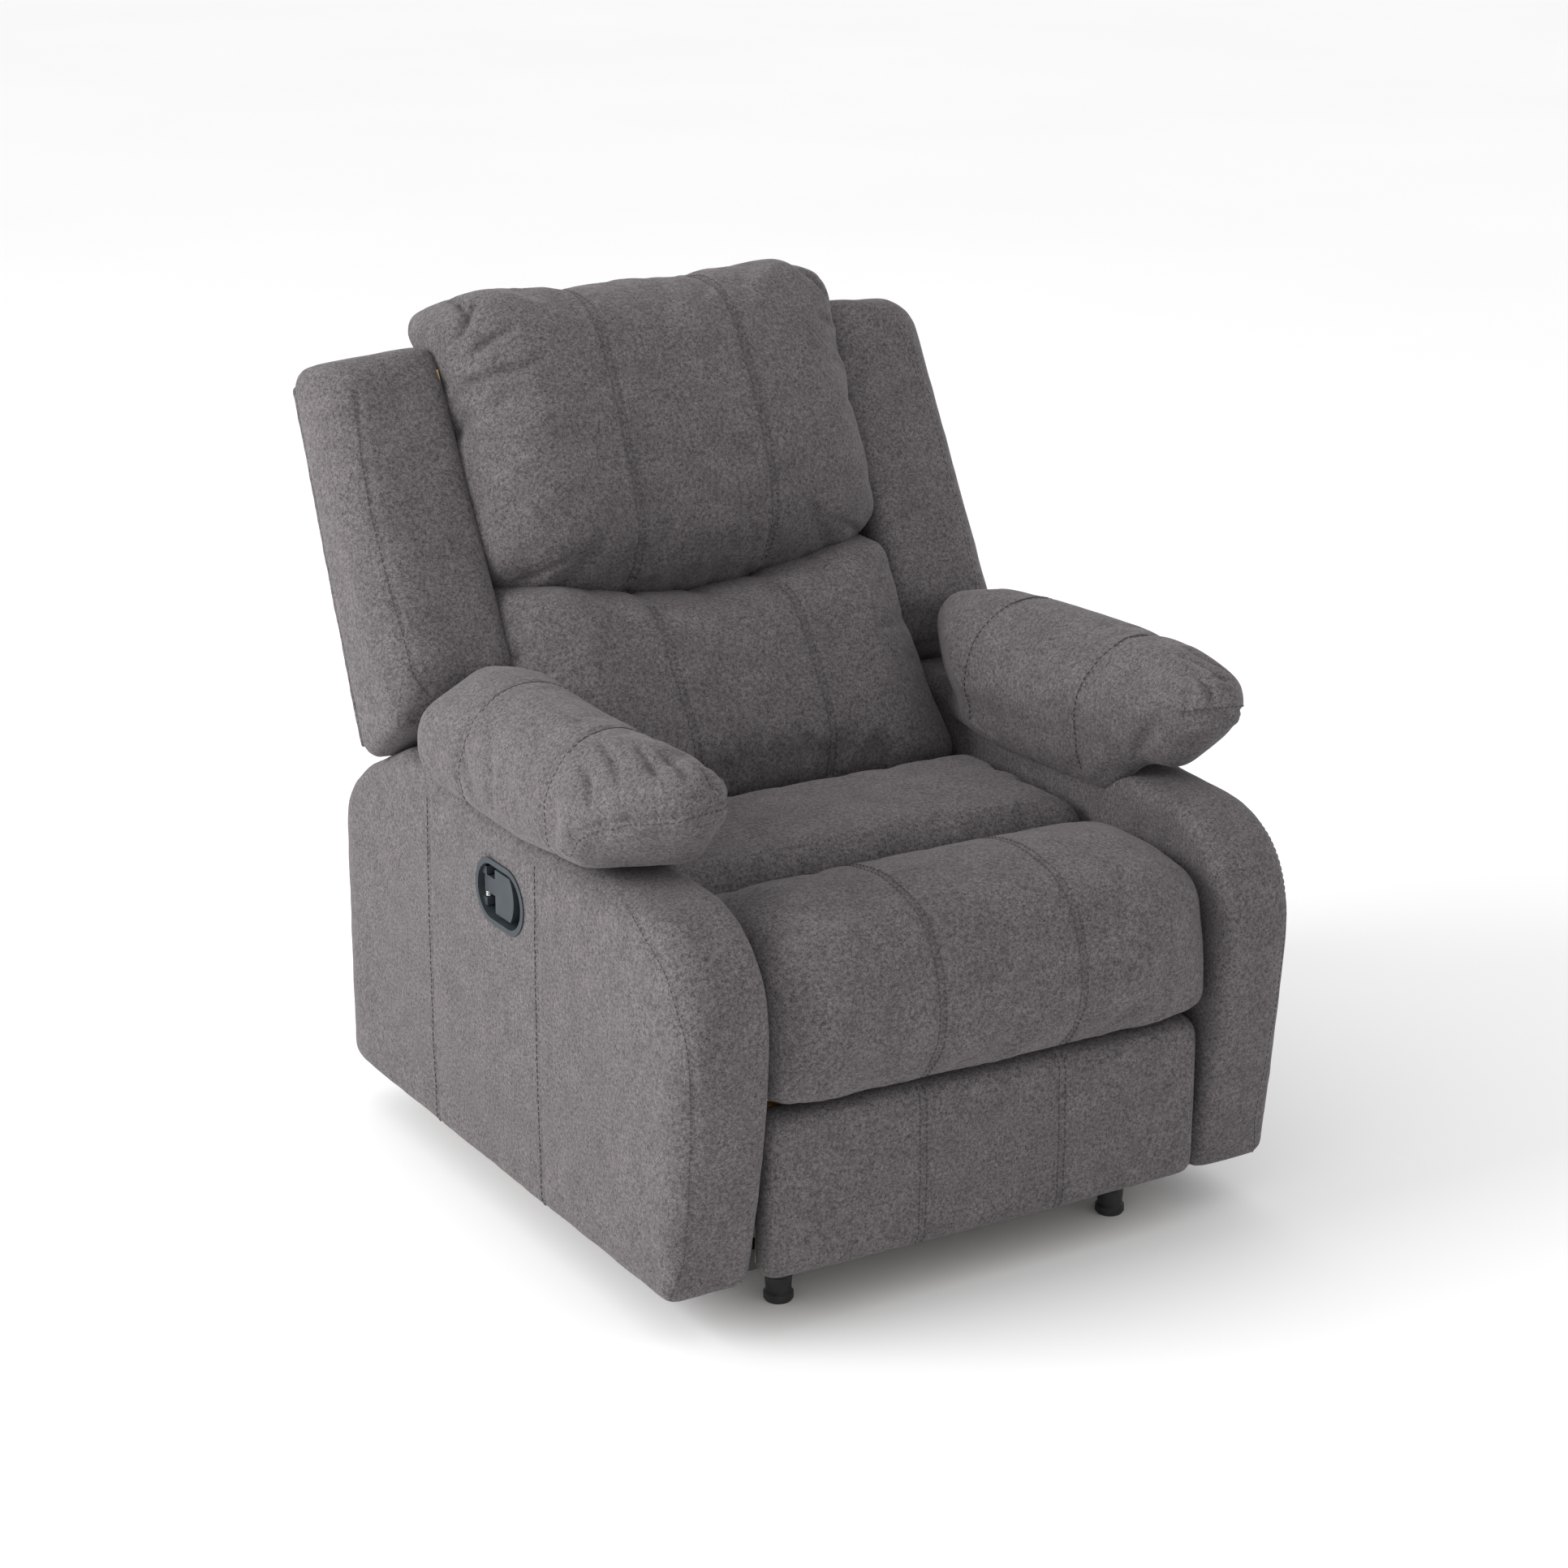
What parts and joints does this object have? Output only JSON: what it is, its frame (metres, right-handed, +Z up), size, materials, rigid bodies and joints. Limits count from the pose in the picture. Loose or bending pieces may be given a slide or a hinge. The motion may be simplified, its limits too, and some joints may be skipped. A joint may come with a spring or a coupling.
{
  "type": "recliner armchair",
  "caption": "Manual recliner armchair with padded arms, a winged back that reclines, a fold-out footrest on steel link chains and a recessed side pull handle.",
  "frame": {"origin": "floor level, at the middle of the chair box in X and Y", "axes": "+X to the sitter's left, +Y towards the back, +Z up; the chair faces -Y"},
  "size_m": [0.8654, 0.9402, 1.0132],
  "materials": {
    "fabric": "short-nap woven upholstery fabric, mottled warm grey",
    "plywood": "raw plywood",
    "timber": "planed softwood",
    "black_steel": "black powder coat, satin",
    "zinc_steel": "bright zinc plate",
    "slate_plastic": "moulded slate-grey plastic, satin",
    "black_plastic": "moulded black plastic",
    "felt": "needled felt",
    "webbing": "woven elastic webbing"
  },
  "bodies": {
    "base": {"arm_panel_left": "plywood", "arm_panel_right": "plywood", "arm_battens_left": "timber", "arm_battens_right": "timber", "arm_cover_left": "fabric", "arm_cover_right": "fabric", "arm_pad_left": "fabric", "arm_pad_right": "fabric", "side_plate_left": "black_steel", "side_plate_right": "black_steel", "side_cleats": "timber", "arm_bolts": "zinc_steel", "front_cross_tube": "black_steel", "rear_cross_tube": "black_steel", "glide_front_left": "black_plastic", "glide_front_right": "black_plastic", "glide_rear_left": "black_plastic", "glide_rear_right": "black_plastic", "seat_side_rails": "timber", "seat_cross_rails": "timber", "seat_screws": "zinc_steel", "seat_springs": "zinc_steel", "seat_deck": "felt", "seat_cushion": "fabric", "front_roll": "fabric", "rear_apron": "fabric", "handle_bezel": "slate_plastic", "handle_pin": "zinc_steel", "handle_spring": "zinc_steel", "release_cable": "black_plastic", "latch_pin": "zinc_steel", "drive_pins": "zinc_steel", "hinge_pins": "zinc_steel"},
    "handle_lever": {"handle_paddle": "slate_plastic"},
    "latch": {"release_latch": "zinc_steel"},
    "drive_link": {"drive_links": "black_steel", "torque_tube": "black_steel", "elbow_pins": "zinc_steel", "tie_pins": "zinc_steel"},
    "reach_link": {"reach_links": "black_steel", "footrest_pins": "zinc_steel"},
    "tie_link": {"tie_links": "black_steel"},
    "footrest": {"footrest_board": "plywood", "footrest_brackets": "black_steel", "bracket_pins": "zinc_steel", "footrest_pad": "fabric"},
    "backrest": {"back_brackets": "black_steel", "back_stiles": "timber", "back_rails": "timber", "back_webbing": "webbing", "lumbar_cushion": "fabric", "head_cushion": "fabric", "wing_board_left": "plywood", "wing_board_right": "plywood", "wing_left": "fabric", "wing_right": "fabric", "back_panel": "fabric"}
  },
  "joints": [
    {"name": "footrest_fold", "type": "hinge", "parent": "base", "child": "drive_link", "pos_m": [0, -0.25711, 0.234], "axis": [-1, 0, 0], "range_deg": [0, 167]},
    {"name": "reach_turn", "type": "hinge", "parent": "drive_link", "child": "reach_link", "pos_m": [0, -0.10111, 0.228], "axis": [1, 0, 0], "range_deg": [0, 116.9]},
    {"name": "tie_turn", "type": "hinge", "parent": "drive_link", "child": "tie_link", "pos_m": [0, -0.09694, 0.25163], "axis": [1, 0, 0], "range_deg": [0, 117.5]},
    {"name": "board_turn", "type": "hinge", "parent": "reach_link", "child": "footrest", "pos_m": [0, -0.37011, 0.168], "axis": [-1, 0, 0], "range_deg": [0, 39.8]},
    {"name": "back_recline", "type": "hinge", "parent": "base", "child": "backrest", "pos_m": [0, 0.21989, 0.27], "axis": [-1, 0, 0], "range_deg": [0, 30]},
    {"name": "handle_pull", "type": "hinge", "parent": "base", "child": "handle_lever", "pos_m": [-0.394, 0.00289, 0.41], "axis": [0, 0, -1], "range_deg": [0, 35], "stiffness_Nm_per_rad": 0.6},
    {"name": "latch_release", "type": "hinge", "parent": "base", "child": "latch", "pos_m": [-0.272, 0.01989, 0.2], "axis": [1, 0, 0], "range_deg": [0, 20]}
  ],
  "couplings": [
    {"joint": "reach_turn", "follows": "footrest_fold", "ratio": 0.69814},
    {"joint": "tie_turn", "follows": "footrest_fold", "ratio": 0.70128},
    {"joint": "board_turn", "follows": "footrest_fold", "ratio": 0.23691},
    {"joint": "latch_release", "follows": "handle_pull", "ratio": 0.57143}
  ]
}
